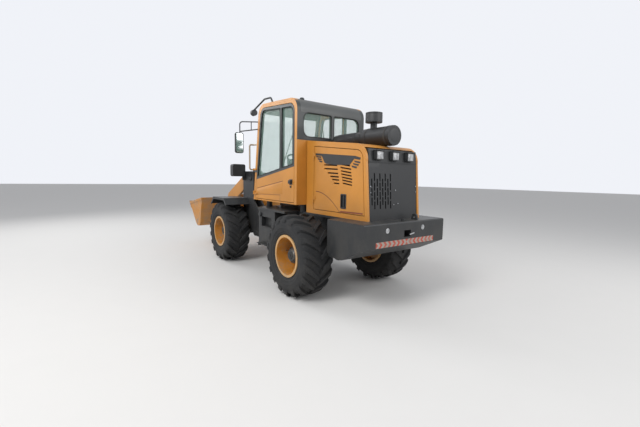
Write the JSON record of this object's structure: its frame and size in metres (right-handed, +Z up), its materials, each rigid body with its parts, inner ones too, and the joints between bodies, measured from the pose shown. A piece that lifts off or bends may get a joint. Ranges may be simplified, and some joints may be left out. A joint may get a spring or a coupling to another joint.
{
  "type": "wheel loader",
  "caption": "Compact articulated wheel loader with a closed cab, rear engine hood, lift arms with tilt linkage and a front bucket; pivots at the middle.",
  "frame": {"origin": "on the ground under the middle of the loader's length", "axes": "+X forward, +Y to the loader's left, +Z up"},
  "size_m": [5.43, 1.9, 2.8082],
  "materials": {
    "body_yellow": "semi-gloss",
    "rim_paint": "satin",
    "frame_grey": "satin",
    "cab_dark": "satin",
    "roof_grey": "satin",
    "rail_beige": "satin",
    "tyre_rubber": "matte",
    "window_glass": "clear",
    "rod_chrome": "polished",
    "driveline": "rough",
    "seat_cover": "matte",
    "trim_black": "matte",
    "lamp_shell": "matte",
    "lamp_lens": "glossy",
    "bucket_paint": "worn"
  },
  "bodies": {
    "rear": {"rear_frame": "frame_grey", "counterweight": "frame_grey", "engine": "driveline", "gearbox": "driveline", "rear_propshaft": "driveline", "rear_axle": "driveline", "cab_frame": "body_yellow", "cab_roof": "roof_grey", "cab_glass": "window_glass", "seat_pedestal": "trim_black", "seat": "seat_cover", "cab_controls": "trim_black", "hood": "body_yellow", "radiator_guard": "cab_dark", "rear_lamps": "lamp_shell", "air_cleaner": "cab_dark", "tanks": "frame_grey", "handrails": "rail_beige", "mirrors": "trim_black", "roof_lamp": "trim_black"},
    "front": {"front_frame": "frame_grey", "front_axle": "driveline", "front_propshaft": "driveline", "front_fenders": "trim_black", "headlamps": "lamp_shell"},
    "boom": {"boom": "body_yellow"},
    "bucket": {"bucket": "bucket_paint"},
    "rocker": {"rocker": "body_yellow"},
    "bucket_link": {"bucket_link": "body_yellow"},
    "lift_barrels": {"lift_barrels": "body_yellow"},
    "lift_rods": {"lift_rods": "rod_chrome"},
    "tilt_barrel": {"tilt_barrel": "body_yellow"},
    "tilt_rod": {"tilt_rod": "rod_chrome"},
    "steer_barrel_left": {"steer_barrel_left": "frame_grey"},
    "steer_rod_left": {"steer_rod_left": "rod_chrome"},
    "steer_barrel_right": {"steer_barrel_right": "frame_grey"},
    "steer_rod_right": {"steer_rod_right": "rod_chrome"},
    "cab_door": {"cab_door": "body_yellow", "door_glass": "window_glass"},
    "engine_door_left": {"engine_door_left": "body_yellow"},
    "engine_door_right": {"engine_door_right": "body_yellow"},
    "wheel_front_left": {"tyre_front_left": "tyre_rubber", "rim_front_left": "rim_paint"},
    "wheel_front_right": {"tyre_front_right": "tyre_rubber", "rim_front_right": "rim_paint"},
    "wheel_rear_left": {"tyre_rear_left": "tyre_rubber", "rim_rear_left": "rim_paint"},
    "wheel_rear_right": {"tyre_rear_right": "tyre_rubber", "rim_rear_right": "rim_paint"}
  },
  "joints": [
    {"name": "articulation", "type": "hinge", "parent": "rear", "child": "front", "pos_m": [-0.335, 0, 0.76], "axis": [0, 0, 1], "range_deg": [-35, 35]},
    {"name": "boom_lift", "type": "hinge", "parent": "front", "child": "boom", "pos_m": [0.435, 0, 1.52], "axis": [0, -1, 0], "range_deg": [-14, 70]},
    {"name": "bucket_tilt", "type": "hinge", "parent": "boom", "child": "bucket", "pos_m": [1.865, 0, 0.64], "axis": [0, 1, 0], "range_deg": [0, 150]},
    {"name": "rocker_turn", "type": "hinge", "parent": "boom", "child": "rocker", "pos_m": [1.445, 0, 1.12], "axis": [0, 1, 0], "range_deg": [0, 62]},
    {"name": "link_turn", "type": "hinge", "parent": "bucket", "child": "bucket_link", "pos_m": [1.6505, 0, 0.82], "axis": [0, -1, 0], "range_deg": [0, 184]},
    {"name": "lift_barrel_turn", "type": "hinge", "parent": "front", "child": "lift_barrels", "pos_m": [0.215, 0, 0.56], "axis": [0, -1, 0], "range_deg": [-2.5, 11.5]},
    {"name": "lift_rod_slide", "type": "slide", "parent": "lift_barrels", "child": "lift_rods", "axis": [0.6178, 0, 0.7864], "range_m": [-0.086, 0.428]},
    {"name": "tilt_barrel_turn", "type": "hinge", "parent": "front", "child": "tilt_barrel", "pos_m": [0.525, 0, 1.57], "axis": [0, -1, 0], "range_deg": [-16, 79]},
    {"name": "tilt_rod_slide", "type": "slide", "parent": "tilt_barrel", "child": "tilt_rod", "axis": [0.975, 0, -0.2222], "range_m": [0, 0.306]},
    {"name": "steer_barrel_left_turn", "type": "hinge", "parent": "rear", "child": "steer_barrel_left", "pos_m": [-0.755, 0.24, 0.82], "axis": [0, 0, 1], "range_deg": [-11, 11]},
    {"name": "steer_rod_left_slide", "type": "slide", "parent": "steer_barrel_left", "child": "steer_rod_left", "axis": [1, 0, 0], "range_m": [-0.144, 0.144]},
    {"name": "steer_barrel_right_turn", "type": "hinge", "parent": "rear", "child": "steer_barrel_right", "pos_m": [-0.755, -0.24, 0.82], "axis": [0, 0, 1], "range_deg": [-11, 11]},
    {"name": "steer_rod_right_slide", "type": "slide", "parent": "steer_barrel_right", "child": "steer_rod_right", "axis": [1, 0, 0], "range_m": [-0.144, 0.144]},
    {"name": "wheel_front_left_spin", "type": "hinge", "parent": "front", "child": "wheel_front_left", "pos_m": [0.865, 0.74, 0.535], "axis": [0, 1, 0], "continuous": true},
    {"name": "wheel_front_right_spin", "type": "hinge", "parent": "front", "child": "wheel_front_right", "pos_m": [0.865, -0.74, 0.535], "axis": [0, 1, 0], "continuous": true},
    {"name": "wheel_rear_left_spin", "type": "hinge", "parent": "rear", "child": "wheel_rear_left", "pos_m": [-1.535, 0.74, 0.535], "axis": [0, 1, 0], "continuous": true},
    {"name": "wheel_rear_right_spin", "type": "hinge", "parent": "rear", "child": "wheel_rear_right", "pos_m": [-1.535, -0.74, 0.535], "axis": [0, 1, 0], "continuous": true},
    {"name": "cab_door_swing", "type": "hinge", "parent": "rear", "child": "cab_door", "pos_m": [0.035, 0.625, 1.9], "axis": [0, 0, 1], "range_deg": [-80, 0]},
    {"name": "engine_door_left_swing", "type": "hinge", "parent": "rear", "child": "engine_door_left", "pos_m": [-1.469, 0.46, 1.5], "axis": [0, 0, 1], "range_deg": [-80, 0]},
    {"name": "engine_door_right_swing", "type": "hinge", "parent": "rear", "child": "engine_door_right", "pos_m": [-1.469, -0.46, 1.5], "axis": [0, 0, 1], "range_deg": [0, 80]}
  ],
  "couplings": [
    {"joint": "rocker_turn", "follows": "bucket_tilt", "ratio": 0.41},
    {"joint": "link_turn", "follows": "bucket_tilt", "ratio": 1.224},
    {"joint": "tilt_rod_slide", "follows": "bucket_tilt", "m_per_rad": 0.1165},
    {"joint": "lift_barrel_turn", "follows": "boom_lift", "ratio": 0.16},
    {"joint": "lift_rod_slide", "follows": "boom_lift", "m_per_rad": 0.35},
    {"joint": "tilt_barrel_turn", "follows": "boom_lift", "ratio": 1.119},
    {"joint": "steer_barrel_left_turn", "follows": "articulation", "ratio": 0.306},
    {"joint": "steer_barrel_right_turn", "follows": "articulation", "ratio": 0.306},
    {"joint": "steer_rod_left_slide", "follows": "articulation", "m_per_rad": -0.235},
    {"joint": "steer_rod_right_slide", "follows": "articulation", "m_per_rad": 0.235}
  ]
}
